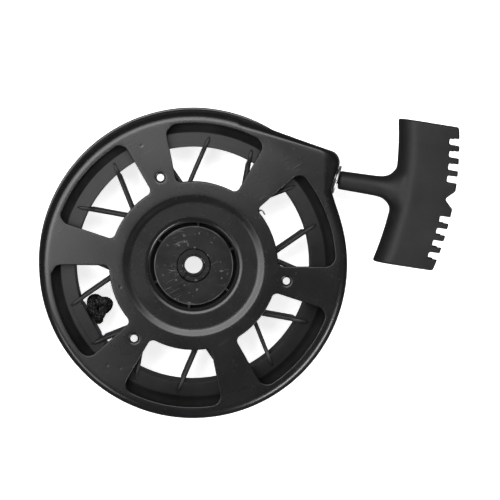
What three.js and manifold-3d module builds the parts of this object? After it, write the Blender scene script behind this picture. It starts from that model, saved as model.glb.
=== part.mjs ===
// Recoil starter: a stamped cover with a rope pulley, recoil spring, dogs and a T handle.
// Millimetres. The origin is on the crank axis in the plane of the rear flange, +Z points
// out of the cover's face, and the handle leaves towards +X.

import * as THREE from 'three';
import { mergeVertices } from 'three/addons/utils/BufferGeometryUtils.js';
import Module from 'manifold-3d';

const wasm = await Module();
wasm.setup();

// ---------------------------------------------------------------- driving dimensions

const GAP = 0.3;                    // clearance between touching pieces

const SHEET = 1.5;                  // thickness of the cover's sheet
const COVER_R = 84.1;
const COVER_H = 38;
const RIM_R = 4.4;                  // rounding between the face and the side wall
const FLANGE_R = 87.4;              // the flange is round and ends where the nose passes it

const NOSE_LOWER = 18;              // normal of the lower tangent, degrees
const NOSE_UPPER = 71.6;            // normal of the upper tangent
const NOSE_END = -18;               // normal of the end wall
const NOSE_REACH = 60;              // distance of the end wall from the axis
const NOSE_CORNER_R = 10;

const WINDOWS = 6;
const WINDOW_FIRST = 20.5;          // direction of the first window's middle
const WINDOW_HALF = 21;             // half of its angle
const WINDOW_IN = 46.4;
const WINDOW_OUT = 78.1;
const WINDOW_CORNER_IN = 3;
const WINDOW_CORNER_OUT = 5.5;

const SCREW_R = 2;
const SCREW_DIMPLE_R = 2.9;
const SCREW_PCD_R = 51.7;
const SCREW_FIRST = 110.5;

const STEP_OUT = 39.0;              // the centre recess: its slope runs between these radii
const STEP_IN = 36.6;
const STEP_DROP = 1.9;
const CUP_R = 23.9;                 // drawn cup that carries the hub disc
const CUP_LIP = 1.8;
const CUP_FLOOR_TOP = 28;

const DISC_R = 21.8;
const DISC_TOP = 34.3;
const DISC_BORE = 9.35;
const STAKE_FIRST = 23;

const POST_R = 8.5;
const POST_BORE = 7.3;
const POST_NECK = 6.2;              // bore of the post's head, which holds the slit pin
const POST_TOP = 33.3;
const POST_BOTTOM = 1;
const POST_LIP = 9.6;               // peened over under the clutch

const PIN_R = 5.9;
const PIN_BORE = 4.95;
const PIN_TOP = 32.9;
const PIN_BOTTOM = 25;
const PIN_SLIT = 1.2;
const PIN_SLIT_DIRECTION = 230;

const ROPE_R = 2.25;
const ROPE_Z = 20;                  // height of the groove's middle and of the eyelet
const ROPE_SIDE = 58.5;             // the rope line's distance from the axis
const ROPE_TURN = -9;               // the rope's direction as it leaves

const EYELET_BORE = 3.6;
const EYELET_TUBE = 6.0;
const EYELET_R = 8.1;
const EYELET_PROUD = 1.8;
const HANDLE_SEAT = 2.8;            // the stem's end, along the rope from the end wall

const RING_IN = 65.3;
const RING_RIDGE = 73.2;
const RING_OUT = 80.5;
const RING_BOTTOM = 10;
const RING_TOP = 30;
const GROOVE_R = 67.8;
const GROOVE_HALF = 4.6;
const SPRING_CUP_IN = 43.5;
const SPRING_CUP_OUT = 46;
const WEB_TOP = 12;
const HUB_BORE = POST_R + GAP;
const HUB_R = 12.5;
const HUB_TOP = 24.3;

const RIB_FIRST = 5.5;              // direction of the first V of ribs
const RIB_PAIRS = 8;
const RIB_APEX = 41.2;
const RIB_TILT = 29;                // angle of a rib to its V's middle line
const RIB_W = 2.2;
const RIB_START = 4;                // distances along a rib from the apex
const RIB_END = 32.6;
const RIB_TOP = 29.4;

const ANCHOR_DIRECTION = 208.5;     // flat block on the ring that anchors the rope
const ANCHOR_CHORD = 64;
const ANCHOR_HALF = 10.4;
const KNOT_DIRECTION = 204.7;
const KNOT_AT = 57;

const COIL_OUT = 75.5;

const SPRING_TURNS = 6;
const SPRING_T = 0.8;
const SPRING_Z = [12.4, 24];
const HOOK_DIRECTION = 38.5;        // slot in the cup's wall for the mainspring's outer hook

const DOG_PIVOT_R = 22;
const DOG_FIRST = 100;
const DOG_Z = [5.6, 9.6];
const DOG_PEG_AT = 10;              // distance of the cam peg from the dog's pivot
const DOG_PEG_R = 1.6;
const DOG_SWING = 35;
const RETAINER_TURN = 30;
const RETAINER_R = 21;
const SLOT_HALF = 2;
const LOBE_RIM = 2.6;               // width of the lobe's rim round its cam slot
const RETAINER_Z = [3.6, 5.2];
const PEG_R = 3;

const HANDLE_HALF = 40.5;           // half of the bar's length
const HANDLE_MIDDLE = -1.3;
const HANDLE_IN = 31.2;             // the bar's inner and outer edges at its middle
const HANDLE_OUT = 64.8;
const HANDLE_BOW = 0.0028;          // how fast both edges curve back towards the ends
const HANDLE_SKEW = 0.022;          // lean of the bar off square
const HANDLE_ROUND = 10;            // depth of the rounded inner side
const HANDLE_T_IN = 11;             // half thickness behind the round and at the outer edge
const HANDLE_T_OUT = 10;
const HANDLE_WALL = 2.6;
const HANDLE_FLOOR = 12;
const HANDLE_END_BLOCK = 6;
const STEM_BORE = 2.7;
const NOTCH_W = 3.6;
const NOTCH_DEPTH = 5.8;
const NOTCHES = [11.4, 18.2, 25.2, 32.1];
const VEE_HALF = 5.5;
const VEE_DEPTH = 5.3;

// ---------------------------------------------------------------- helpers

const rad = THREE.MathUtils.degToRad;
const polar = (r, deg) => new THREE.Vector2(r * Math.cos(rad(deg)), r * Math.sin(rad(deg)));

// A closed geometry as a manifold-3d solid that faces outwards.
function solid(geometry) {
  const bare = geometry.clone();
  bare.deleteAttribute('normal');
  bare.deleteAttribute('uv');
  const merged = mergeVertices(bare, 1e-4);
  const at = merged.attributes.position;
  const corner = [new THREE.Vector3(), new THREE.Vector3(), new THREE.Vector3()];
  const faces = [];
  let volume = 0;
  for (let i = 0; i < merged.index.count; i += 3) {
    const face = [0, 1, 2].map((k) => merged.index.getX(i + k));
    if (new Set(face).size < 3) continue;
    face.forEach((v, k) => corner[k].fromBufferAttribute(at, v));
    volume += corner[0].dot(corner[1].cross(corner[2]));
    faces.push(face);
  }
  if (volume < 0) faces.forEach((face) => face.reverse());
  return new wasm.Manifold(new wasm.Mesh({
    numProp: 3,
    vertProperties: at.array,
    triVerts: new Uint32Array(faces.flat()),
  }));
}

function geometryOf(made) {
  const mesh = made.getMesh();
  const geometry = new THREE.BufferGeometry();
  geometry.setAttribute('position', new THREE.BufferAttribute(mesh.vertProperties, 3));
  geometry.setIndex(new THREE.BufferAttribute(mesh.triVerts, 1));
  geometry.computeVertexNormals();
  return geometry;
}

// A closed profile of [radius, height] points turned about the Z axis.
function turned(profile, segments = 48) {
  const points = profile.map(([r, z]) => new THREE.Vector2(r, z));
  if (profile[0][0] > 0) points.push(points[0].clone());
  return solid(new THREE.LatheGeometry(points, segments).rotateX(Math.PI / 2));
}

const ring = (inner, outer, low, high, segments) =>
  turned([[inner, low], [outer, low], [outer, high], [inner, high]], segments);

const rod = (radius, low, high, segments = 24) =>
  turned([[0, low], [radius, low], [radius, high], [0, high]], segments);

function plate(points, low, high) {
  const geometry = new THREE.ExtrudeGeometry(new THREE.Shape(points), {
    depth: high - low, bevelEnabled: false,
  });
  return geometry.translate(0, 0, low);
}

const box = (x, y, z) => {
  const geometry = new THREE.BoxGeometry(x[1] - x[0], y[1] - y[0], z[1] - z[0]);
  return geometry.translate((x[0] + x[1]) / 2, (y[0] + y[1]) / 2, (z[0] + z[1]) / 2);
};

// Points of an arc about (x, y), both ends included.
function arc(x, y, r, from, to, steps) {
  const points = [];
  for (let i = 0; i <= steps; i += 1) {
    points.push(polar(r, from + ((to - from) * i) / steps).add(new THREE.Vector2(x, y)));
  }
  return points;
}

// A round section carried along a smooth curve through the points.
function tube(points, radius, sides, steps) {
  const section = new THREE.Shape(arc(0, 0, radius, 0, 360, sides).slice(0, -1));
  return solid(new THREE.ExtrudeGeometry(section, {
    steps, extrudePath: new THREE.CatmullRomCurve3(points, false, 'centripetal'),
  }));
}

const flat = (point, z) => new THREE.Vector3(point.x, point.y, z);

// Where the lines with normals a and b, in degrees, and distances da and db meet.
function meet(a, da, b, db) {
  const p = polar(1, a);
  const q = polar(1, b);
  const det = p.x * q.y - p.y * q.x;
  return new THREE.Vector2((da * q.y - db * p.y) / det, (db * p.x - da * q.x) / det);
}

const group = new THREE.Group();

function add(parent, name, geometry, colour, roughness, metalness) {
  const material = new THREE.MeshStandardMaterial({ color: colour, roughness, metalness });
  const mesh = new THREE.Mesh(geometry, material);
  mesh.name = name;
  parent.add(mesh);
  return mesh;
}

const BLACK_PAINT = [0x1b1c1d, 0.42, 0.1];
const BLACK_PLASTIC = [0x161617, 0.5, 0];
const DARK_STEEL = [0x3a3b3d, 0.45, 0.8];
const ZINC = [0xc9ccce, 0.3, 0.9];
const SPRING_STEEL = [0x6a6c70, 0.35, 0.9];
const ROPE = [0x121213, 0.9, 0];

// ---------------------------------------------------------------- cover

// The cover's outline, grown by an offset: a circle with a nose for the rope.
function coverOutline(grow) {
  const r = COVER_R + grow;
  const reach = NOSE_REACH + grow;
  const corner = NOSE_CORNER_R + grow;
  const cornerAt = meet(NOSE_END, reach - corner, NOSE_UPPER, r - corner);
  return [
    ...arc(0, 0, r, NOSE_UPPER, NOSE_LOWER + 360, 52),
    meet(NOSE_LOWER, r, NOSE_END, reach),
    ...arc(cornerAt.x, cornerAt.y, corner, NOSE_END, NOSE_UPPER, 5),
  ];
}

// The solid inside an outline, from far below the flange up to a rounded top edge.
function domed(grow, top, rounding) {
  const below = 12;
  const geometry = new THREE.ExtrudeGeometry(new THREE.Shape(coverOutline(grow)), {
    depth: top + below - rounding,
    bevelThickness: rounding,
    bevelSize: rounding,
    bevelOffset: -rounding,
    bevelSegments: 3,
  });
  return solid(geometry.translate(0, 0, -below));
}

// A window: a sector with rounded corners.
function windowOutline() {
  const inside = WINDOW_IN + WINDOW_CORNER_IN;
  const outside = WINDOW_OUT - WINDOW_CORNER_OUT;
  const insideAt = WINDOW_HALF - THREE.MathUtils.radToDeg(Math.asin(WINDOW_CORNER_IN / inside));
  const outsideAt = WINDOW_HALF - THREE.MathUtils.radToDeg(Math.asin(WINDOW_CORNER_OUT / outside));
  const lowIn = polar(inside, -insideAt);
  const lowOut = polar(outside, -outsideAt);
  const highOut = polar(outside, outsideAt);
  const highIn = polar(inside, insideAt);
  return [
    ...arc(lowIn.x, lowIn.y, WINDOW_CORNER_IN, 180 - insideAt, 270 - WINDOW_HALF, 3),
    ...arc(lowOut.x, lowOut.y, WINDOW_CORNER_OUT, -90 - WINDOW_HALF, -outsideAt, 4),
    ...arc(0, 0, WINDOW_OUT, -outsideAt, outsideAt, 6).slice(1, -1),
    ...arc(highOut.x, highOut.y, WINDOW_CORNER_OUT, outsideAt, 90 + WINDOW_HALF, 4),
    ...arc(highIn.x, highIn.y, WINDOW_CORNER_IN, 90 + WINDOW_HALF, 180 + insideAt, 3),
    ...arc(0, 0, WINDOW_IN, insideAt, -insideAt, 6).slice(1, -1),
  ];
}

// A point on the rope line, at a distance out of the nose's end wall.
const onRopeLine = (out) =>
  meet(NOSE_END, NOSE_REACH, ROPE_TURN + 90, ROPE_SIDE).add(polar(out, ROPE_TURN));

// A rod or ring about Z set square through the end wall, where the rope leaves.
function throughWall(made) {
  const at = onRopeLine(0);
  const geometry = geometryOf(made).rotateY(Math.PI / 2).rotateZ(rad(NOSE_END));
  return solid(geometry.translate(at.x, at.y, ROPE_Z));
}

function coverSolid() {
  const inner = domed(-SHEET, COVER_H - SHEET, RIM_R - SHEET);
  const flange = rod(FLANGE_R, 0, SHEET, 60);
  const below = solid(box([-200, 200], [-200, 200], [-50, 0]));
  let cover = domed(0, COVER_H, RIM_R).add(flange).subtract(inner).subtract(below);

  const recess = COVER_H - STEP_DROP;
  const wall = CUP_R + SHEET;
  const join = STEP_OUT + 1.7;
  cover = cover.subtract(rod(join - 0.5, COVER_H - 2 * SHEET, COVER_H + SHEET, 48));
  cover = cover.add(turned([
    [join, COVER_H], [STEP_OUT, COVER_H], [STEP_IN, recess], [CUP_R + CUP_LIP, recess],
    [CUP_R + 0.3 * CUP_LIP, recess - 0.3 * CUP_LIP], [CUP_R, recess - CUP_LIP],
    [CUP_R, CUP_FLOOR_TOP], [DISC_BORE, CUP_FLOOR_TOP], [DISC_BORE, CUP_FLOOR_TOP - SHEET],
    [wall, CUP_FLOOR_TOP - SHEET], [wall, recess - SHEET - 0.5], [wall + 0.7, recess - SHEET],
    [STEP_IN - 0.5, recess - SHEET], [STEP_OUT - 0.5, COVER_H - SHEET], [join, COVER_H - SHEET],
  ], 48));

  for (let i = 0; i < WINDOWS; i += 1) {
    const window = plate(windowOutline(), COVER_H - 5, COVER_H + 5);
    cover = cover.subtract(solid(window.rotateZ(rad(WINDOW_FIRST + (i * 360) / WINDOWS))));
  }
  const dimple = SCREW_DIMPLE_R - SCREW_R;
  for (let i = 0; i < 3; i += 1) {
    const at = polar(SCREW_PCD_R, SCREW_FIRST + i * 120);
    const hole = turned([
      [0, COVER_H - 3], [SCREW_R, COVER_H - 3], [SCREW_R, COVER_H - dimple],
      [SCREW_DIMPLE_R, COVER_H], [SCREW_DIMPLE_R, COVER_H + 1], [0, COVER_H + 1],
    ], 16);
    cover = cover.subtract(solid(geometryOf(hole).translate(at.x, at.y, 0)));
  }
  return cover.subtract(throughWall(rod(EYELET_TUBE + GAP, -8, 8, 24)));
}

add(group, 'housing_shell', geometryOf(coverSolid()), ...BLACK_PAINT);

// ---------------------------------------------------------------- hub

function discSolid() {
  const chamfer = 0.4;
  let disc = turned([
    [DISC_BORE, CUP_FLOOR_TOP + GAP], [DISC_R, CUP_FLOOR_TOP + GAP],
    [DISC_R, DISC_TOP - chamfer], [DISC_R - chamfer, DISC_TOP], [DISC_BORE, DISC_TOP],
  ], 40);
  for (let i = 0; i < WINDOWS; i += 1) {
    const stake = box([DISC_R - 1, CUP_R - GAP], [-1.2, 1.2], [DISC_TOP - 2.2, DISC_TOP - 1]);
    disc = disc.add(solid(stake.rotateZ(rad(STAKE_FIRST + i * 60))));
  }
  return disc;
}

const postStep = CUP_FLOOR_TOP - SHEET - GAP;
const postHead = DISC_BORE - GAP;
const post = turned([
  [POST_BORE, POST_BOTTOM], [POST_LIP, POST_BOTTOM], [POST_LIP, POST_BOTTOM + 0.8],
  [POST_R, POST_BOTTOM + 0.8], [POST_R, postStep], [postHead, postStep + GAP],
  [postHead, POST_TOP], [POST_NECK, POST_TOP], [POST_NECK, PIN_BOTTOM - GAP],
  [POST_BORE, PIN_BOTTOM - 2],
], 28);

const slit = box([0, PIN_R + 1], [-PIN_SLIT / 2, PIN_SLIT / 2], [0, COVER_H]);
const pin = turned([
  [PIN_BORE, PIN_BOTTOM], [PIN_R - 0.6, PIN_BOTTOM], [PIN_R, PIN_BOTTOM + 1.2],
  [PIN_R, PIN_TOP - 1], [PIN_R - 0.5, PIN_TOP], [PIN_BORE, PIN_TOP],
], 28).subtract(solid(slit.rotateZ(rad(PIN_SLIT_DIRECTION))));

add(group, 'hub_disc', geometryOf(discSolid()), ...DARK_STEEL);
add(group, 'center_post', geometryOf(post), ...DARK_STEEL);
add(group, 'spring_pin', geometryOf(pin), ...SPRING_STEEL);

// ---------------------------------------------------------------- eyelet and rope lead

const eyelet = turned([
  [EYELET_BORE + 1.4, -SHEET - 3], [EYELET_TUBE, -SHEET - 3], [EYELET_TUBE, GAP],
  [EYELET_R, GAP], [EYELET_R, EYELET_PROUD - 1.2], [EYELET_R - 1.2, EYELET_PROUD],
  [EYELET_BORE + 1.2, EYELET_PROUD], [EYELET_BORE, EYELET_PROUD - 1.2],
  [EYELET_BORE, -SHEET - 0.6],
], 24);
add(group, 'rope_eyelet', geometryOf(throughWall(eyelet)), ...ZINC);

const leadR = COIL_OUT + GAP + ROPE_R + 0.1;
const leadRoute = [
  ...[112, 102, 92, 82, 72, 62].map((deg) => flat(polar(leadR, deg), ROPE_Z)),
  flat(polar(leadR, 59).lerp(onRopeLine(-4), 0.45), ROPE_Z),
  ...[-4, 0, EYELET_PROUD].map((out) => flat(onRopeLine(out), ROPE_Z)),
];
add(group, 'rope_lead', geometryOf(tube(leadRoute, ROPE_R, 8, 22)), ...ROPE);

// ---------------------------------------------------------------- pulley

// A rib of the V pairs: upright from the spring cup to the ring, then a low taper across
// the ring's front band.
function ribSolid(direction, side) {
  const profile = [
    [RIB_START, 11], [26.5, 11], [26.5, RING_TOP - 1], [RIB_END, RING_TOP - 0.8],
    [27.5, RING_TOP + 1], [24, RIB_TOP], [RIB_START, RIB_TOP],
  ].map(([s, z]) => new THREE.Vector2(s, z));
  const geometry = new THREE.ExtrudeGeometry(new THREE.Shape(profile), {
    depth: RIB_W, bevelEnabled: false,
  });
  geometry.translate(0, 0, -RIB_W / 2).rotateX(Math.PI / 2);
  geometry.rotateZ(rad(side * RIB_TILT)).translate(RIB_APEX, 0, 0);
  return solid(geometry.rotateZ(rad(direction)));
}

const dogDirection = (i) => DOG_FIRST + i * 180;

function pulleySolid() {
  const low = ROPE_Z - GROOVE_HALF;
  const high = ROPE_Z + GROOVE_HALF;
  let pulley = turned([
    [RING_IN, RING_BOTTOM], [RING_RIDGE, RING_BOTTOM + 0.8], [RING_RIDGE + 2.5, low - 3.2],
    [RING_OUT, low - 2.4], [RING_OUT, low - 0.5], [GROOVE_R, low], [GROOVE_R, high],
    [RING_OUT, high + 0.5], [RING_OUT, high + 2.4], [RING_RIDGE + 2.5, high + 3.2],
    [RING_RIDGE, RING_TOP - 0.8], [RING_IN, RING_TOP],
  ], 60);
  pulley = pulley.add(turned([
    [HUB_BORE, RING_BOTTOM], [SPRING_CUP_OUT, RING_BOTTOM], [SPRING_CUP_OUT, RING_TOP],
    [SPRING_CUP_IN, RING_TOP], [SPRING_CUP_IN, WEB_TOP], [HUB_R, WEB_TOP],
    [HUB_R, HUB_TOP], [HUB_BORE, HUB_TOP],
  ], 40));
  for (let i = 0; i < RIB_PAIRS; i += 1) {
    const direction = RIB_FIRST + (i * 360) / RIB_PAIRS;
    pulley = pulley.add(ribSolid(direction, 1)).add(ribSolid(direction, -1));
  }
  const anchor = box([ANCHOR_CHORD, RING_IN + 1.5], [-ANCHOR_HALF, ANCHOR_HALF],
    [RING_BOTTOM + 0.5, RING_TOP - 0.3]);
  pulley = pulley.add(solid(anchor.rotateZ(rad(ANCHOR_DIRECTION))));
  const ropeHole = geometryOf(rod(ROPE_R + GAP + 0.1, KNOT_AT, GROOVE_R + 3, 16));
  ropeHole.rotateY(Math.PI / 2).translate(0, 0, ROPE_Z);
  pulley = pulley.subtract(solid(ropeHole.rotateZ(rad(KNOT_DIRECTION))));
  const hookSlot = box([SPRING_CUP_IN - 1, SPRING_CUP_OUT + 1], [-2.2, 2.2],
    [SPRING_Z[0] - GAP, SPRING_Z[1] + 1]);
  pulley = pulley.subtract(solid(hookSlot.rotateZ(rad(HOOK_DIRECTION))));
  for (let i = 0; i < 2; i += 1) {
    const at = polar(DOG_PIVOT_R, dogDirection(i));
    const peg = geometryOf(rod(PEG_R, RETAINER_Z[1] + GAP, RING_BOTTOM + 1, 20));
    pulley = pulley.add(solid(peg.translate(at.x, at.y, 0)));
  }
  return pulley;
}

add(group, 'pulley', geometryOf(pulleySolid()), ...BLACK_PLASTIC);

const keeperLow = HUB_TOP + GAP;
const keeper = ring(HUB_BORE, SPRING_CUP_IN - GAP, keeperLow, keeperLow + 1, 40);
add(group, 'spring_keeper', geometryOf(keeper), ...ZINC);

// The mainspring: a flat spiral strip whose outer end hooks through the cup's wall.
function mainspringSolid() {
  const inner = 15;
  const outer = SPRING_CUP_IN - 1.2;
  const perTurn = 16;
  const count = SPRING_TURNS * perTurn;
  const middle = [];
  for (let i = 0; i <= count; i += 1) {
    const turn = HOOK_DIRECTION - 3 + (360 * i) / perTurn;
    middle.push(polar(inner + ((outer - inner) * i) / count, turn));
  }
  const hook = [[43, -0.6], [47, 0.2], [48.6, -1.2], [48.4, -4]];
  hook.forEach(([r, turn]) => middle.push(polar(r, HOOK_DIRECTION + turn)));
  const left = [];
  const right = [];
  middle.forEach((point, i) => {
    const ahead = middle[Math.min(i + 1, middle.length - 1)];
    const behind = middle[Math.max(i - 1, 0)];
    const along = ahead.clone().sub(behind).normalize().multiplyScalar(SPRING_T / 2);
    left.push(new THREE.Vector2(point.x - along.y, point.y + along.x));
    right.unshift(new THREE.Vector2(point.x + along.y, point.y - along.x));
  });
  return solid(plate([...left, ...right], SPRING_Z[0], SPRING_Z[1]));
}

add(group, 'mainspring', geometryOf(mainspringSolid()), ...SPRING_STEEL);

const coilHalf = GROOVE_HALF - GAP;
const coil = ring(GROOVE_R + GAP, COIL_OUT, ROPE_Z - coilHalf, ROPE_Z + coilHalf, 60);
add(group, 'rope_coil', geometryOf(coil), ...ROPE);

// The stopper knot against the anchor block, with the strand that goes out to the groove.
function pulleyKnotSolid() {
  const strand = geometryOf(rod(ROPE_R, KNOT_AT, GROOVE_R - GAP, 12)).rotateY(Math.PI / 2);
  const ball = new THREE.SphereGeometry(1, 14, 9).scale(6.2, 7.8, 6.6);
  ball.translate(KNOT_AT, 0, 0);
  const knot = geometryOf(solid(ball).add(solid(strand)));
  return solid(knot.translate(0, 0, ROPE_Z).rotateZ(rad(KNOT_DIRECTION)));
}

add(group, 'pulley_knot', geometryOf(pulleyKnotSolid()), ...ROPE);

// ---------------------------------------------------------------- clutch

const brakeZ = [RETAINER_Z[1] + GAP, 8];
add(group, 'inner_washer', geometryOf(ring(HUB_BORE, 13, 8.4, RING_BOTTOM - 2 * GAP, 28)), ...ZINC);
add(group, 'outer_washer', geometryOf(ring(HUB_BORE, 12, 2.1, 3.3, 28)), ...ZINC);

// The brake spring: an open wire coil round the post.
function brakeSpringSolid() {
  const wire = 0.55;
  const turns = 1.9;
  const steps = 30;
  const points = [];
  for (let i = 0; i <= steps; i += 1) {
    const at = polar(9.8, (360 * turns * i) / steps);
    const climb = brakeZ[1] - brakeZ[0] - 2 * wire;
    points.push(flat(at, brakeZ[0] + wire + (climb * i) / steps));
  }
  return tube(points, wire, 6, steps);
}

add(group, 'brake_spring', geometryOf(brakeSpringSolid()), ...SPRING_STEEL);

// The cam peg of a dog, in the retainer's own frame, when the retainer has turned.
function pegInRetainer(turn) {
  const swing = (turn * DOG_SWING) / RETAINER_TURN;
  const peg = new THREE.Vector2(DOG_PIVOT_R, 0).add(polar(DOG_PEG_AT, swing - 90));
  return peg.rotateAround(new THREE.Vector2(), rad(-turn));
}

// The outline at an even distance round the peg's path: a cam slot, or the lobe round it.
function slotOutline(half) {
  const steps = 8;
  const path = [];
  for (let i = 0; i <= steps; i += 1) path.push(pegInRetainer((RETAINER_TURN * i) / steps));
  const heading = (i) => {
    const ahead = path[Math.min(i + 1, steps)];
    const behind = path[Math.max(i - 1, 0)];
    return THREE.MathUtils.radToDeg(ahead.clone().sub(behind).angle());
  };
  const beside = (i, turn) => polar(half, heading(i) + turn).add(path[i]);
  return [
    ...arc(path[0].x, path[0].y, half, heading(0) + 270, heading(0) + 90, 6),
    ...path.map((point, i) => beside(i, 90)).slice(1, -1),
    ...arc(path[steps].x, path[steps].y, half, heading(steps) + 90, heading(steps) - 90, 6),
    ...path.map((point, i) => beside(i, -90)).slice(1, -1).reverse(),
  ];
}

function retainerSolid() {
  let made = ring(HUB_BORE, RETAINER_R, RETAINER_Z[0], RETAINER_Z[1], 36);
  for (let i = 0; i < 2; i += 1) {
    const lobe = plate(slotOutline(SLOT_HALF + LOBE_RIM), RETAINER_Z[0], RETAINER_Z[1]);
    const slot = plate(slotOutline(SLOT_HALF), RETAINER_Z[0] - 1, RETAINER_Z[1] + 1);
    made = made.add(solid(lobe.rotateZ(rad(dogDirection(i)))));
    made = made.subtract(solid(slot.rotateZ(rad(dogDirection(i)))));
  }
  return made;
}

add(group, 'retainer', geometryOf(retainerSolid()), ...ZINC);

// A dog: an eye on the pulley's peg, an arm and a squared catching tip.
function dogSolid() {
  const outline = [
    ...arc(0, 0, 5.8, -35, 205, 12),
    new THREE.Vector2(-3.6, -9), new THREE.Vector2(-1.6, -18),
    new THREE.Vector2(3.2, -18.6), new THREE.Vector2(4.6, -12),
  ];
  const bore = rod(PEG_R + GAP, DOG_Z[0] - 1, DOG_Z[1] + 1, 20);
  const peg = geometryOf(rod(DOG_PEG_R, RETAINER_Z[0] - 0.6, DOG_Z[0] + 1, 16));
  peg.translate(0, -DOG_PEG_AT, 0);
  return solid(plate(outline, DOG_Z[0], DOG_Z[1])).subtract(bore).add(solid(peg));
}

const dogSpringRoute = [[-7.4, 4.5], [-8, 0], [-7.2, -4.5], [-5.6, -8], [-5.2, -11]];
for (let i = 0; i < 2; i += 1) {
  const place = new THREE.Group();
  const at = polar(DOG_PIVOT_R, dogDirection(i));
  place.position.set(at.x, at.y, 0);
  place.rotation.z = rad(dogDirection(i));
  group.add(place);
  add(place, `dog_${i + 1}`, geometryOf(dogSolid()), ...DARK_STEEL);
  const route = dogSpringRoute.map(([x, y]) => new THREE.Vector3(x, y, 8.4));
  add(place, `dog_spring_${i + 1}`, geometryOf(tube(route, 0.55, 6, 10)), ...SPRING_STEEL);
}

// ---------------------------------------------------------------- handle

// The handle's own frame: X out along the stem, Y along the bar, Z as the cover's.
const handleFrame = new THREE.Group();
const handleAt = onRopeLine(HANDLE_SEAT);
handleFrame.position.set(handleAt.x, handleAt.y, ROPE_Z);
handleFrame.rotation.z = rad(ROPE_TURN);
group.add(handleFrame);

// The bar's cross-section as [distance from the inner edge, height] points.
function barSection(steps) {
  const width = HANDLE_OUT - HANDLE_IN;
  const points = [];
  for (let i = 0; i <= steps; i += 1) {
    const turn = (Math.PI * i) / steps;
    points.push([HANDLE_ROUND * (1 - Math.sin(turn)), HANDLE_T_IN * Math.cos(turn)]);
  }
  const taper = HANDLE_T_OUT + (HANDLE_T_IN - HANDLE_T_OUT) / 2;
  points.push([width / 2 + HANDLE_ROUND / 2, -taper], [width - 1, -HANDLE_T_OUT]);
  points.push([width, -HANDLE_T_OUT + 1], [width, HANDLE_T_OUT - 1]);
  points.push([width - 1, HANDLE_T_OUT], [width / 2 + HANDLE_ROUND / 2, taper]);
  return points;
}

const bow = (y) => HANDLE_SKEW * (y - HANDLE_MIDDLE) - HANDLE_BOW * (y - HANDLE_MIDDLE) ** 2;

// A section lofted along Y between two ends, following the bar's bow.
function bowed(section, from, to, slices) {
  const count = section.length;
  const geometry = new THREE.CylinderGeometry(1, 1, to - from, count, slices);
  geometry.translate(0, (from + to) / 2, 0);
  const at = geometry.attributes.position;
  const middleX = section.reduce((sum, point) => sum + point[0], 0) / count;
  for (let i = 0; i < at.count; i += 1) {
    const y = at.getY(i);
    const middle = Math.hypot(at.getX(i), at.getZ(i)) < 0.5;
    const turn = Math.atan2(at.getX(i), at.getZ(i)) / (2 * Math.PI);
    const k = (Math.round(turn * count) + count) % count;
    const [x, z] = middle ? [middleX, 0] : section[k];
    at.setXYZ(i, x + HANDLE_IN + bow(y), y, z);
  }
  return solid(geometry);
}

// The stem: round, then flaring into the bar, flatter in height than along the bar.
function stemSolid() {
  const profile = [[0, 0], [4.6, 0], [5.2, 0.6], [5.9, 24.6], [6.9, 27.6], [9.4, 30.6],
    [12.4, 32.6], [12.4, 35.6], [0, 35.6]];
  const geometry = geometryOf(turned(profile, 28)).rotateY(Math.PI / 2);
  const at = geometry.attributes.position;
  const straight = 5.9;
  for (let i = 0; i < at.count; i += 1) {
    const radius = Math.hypot(at.getY(i), at.getZ(i));
    if (radius > straight) {
      const flatter = (straight + 0.35 * (radius - straight)) / radius;
      at.setZ(i, at.getZ(i) * flatter);
    }
  }
  return solid(geometry);
}

function handleSolid() {
  const ends = [HANDLE_MIDDLE - HANDLE_HALF, HANDLE_MIDDLE + HANDLE_HALF];
  const width = HANDLE_OUT - HANDLE_IN;
  const inside = HANDLE_T_OUT - HANDLE_WALL;
  const hollow = [[HANDLE_FLOOR, inside], [HANDLE_FLOOR, -inside], [width + 1, -inside],
    [width + 1, inside]];
  let handle = bowed(barSection(10), ends[0], ends[1], 8).add(stemSolid());
  handle = handle.subtract(
    bowed(hollow, ends[0] + HANDLE_END_BLOCK, ends[1] - HANDLE_END_BLOCK, 8));
  handle = handle.subtract(
    solid(geometryOf(rod(STEM_BORE, -1, HANDLE_IN + HANDLE_FLOOR + 1, 16)).rotateY(Math.PI / 2)));
  [...NOTCHES, ...NOTCHES.map((y) => -y)].forEach((along) => {
    const y = HANDLE_MIDDLE + along;
    const edge = HANDLE_OUT + bow(y);
    handle = handle.subtract(solid(box([edge - NOTCH_DEPTH, edge + 3],
      [y - NOTCH_W / 2, y + NOTCH_W / 2], [-HANDLE_T_IN - 1, HANDLE_T_IN + 1])));
  });
  const vee = [
    new THREE.Vector2(HANDLE_OUT - VEE_DEPTH, HANDLE_MIDDLE),
    new THREE.Vector2(HANDLE_OUT + 0.5, HANDLE_MIDDLE - VEE_HALF),
    new THREE.Vector2(HANDLE_OUT + 3, HANDLE_MIDDLE),
    new THREE.Vector2(HANDLE_OUT + 0.5, HANDLE_MIDDLE + VEE_HALF),
  ];
  return handle.subtract(solid(plate(vee, -HANDLE_T_IN - 1, HANDLE_T_IN + 1)));
}

const floorX = HANDLE_IN + HANDLE_FLOOR;
const washer = geometryOf(ring(ROPE_R + GAP, 5.5, floorX + GAP, floorX + GAP + 1.2, 28));
const knotAt = floorX + 7.2;

function handleKnotSolid() {
  const ball = new THREE.SphereGeometry(1, 14, 9).scale(5, 6, 5.6).translate(knotAt, 0, 0);
  const strand = geometryOf(rod(ROPE_R, GAP, knotAt, 12)).rotateY(Math.PI / 2);
  return solid(ball).add(solid(strand));
}

add(handleFrame, 'handle', geometryOf(handleSolid()), ...BLACK_PLASTIC);
add(handleFrame, 'knot_washer', washer.rotateY(Math.PI / 2), ...ZINC);
add(handleFrame, 'handle_rope', geometryOf(handleKnotSolid()), ...ROPE);

export default group;
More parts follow.
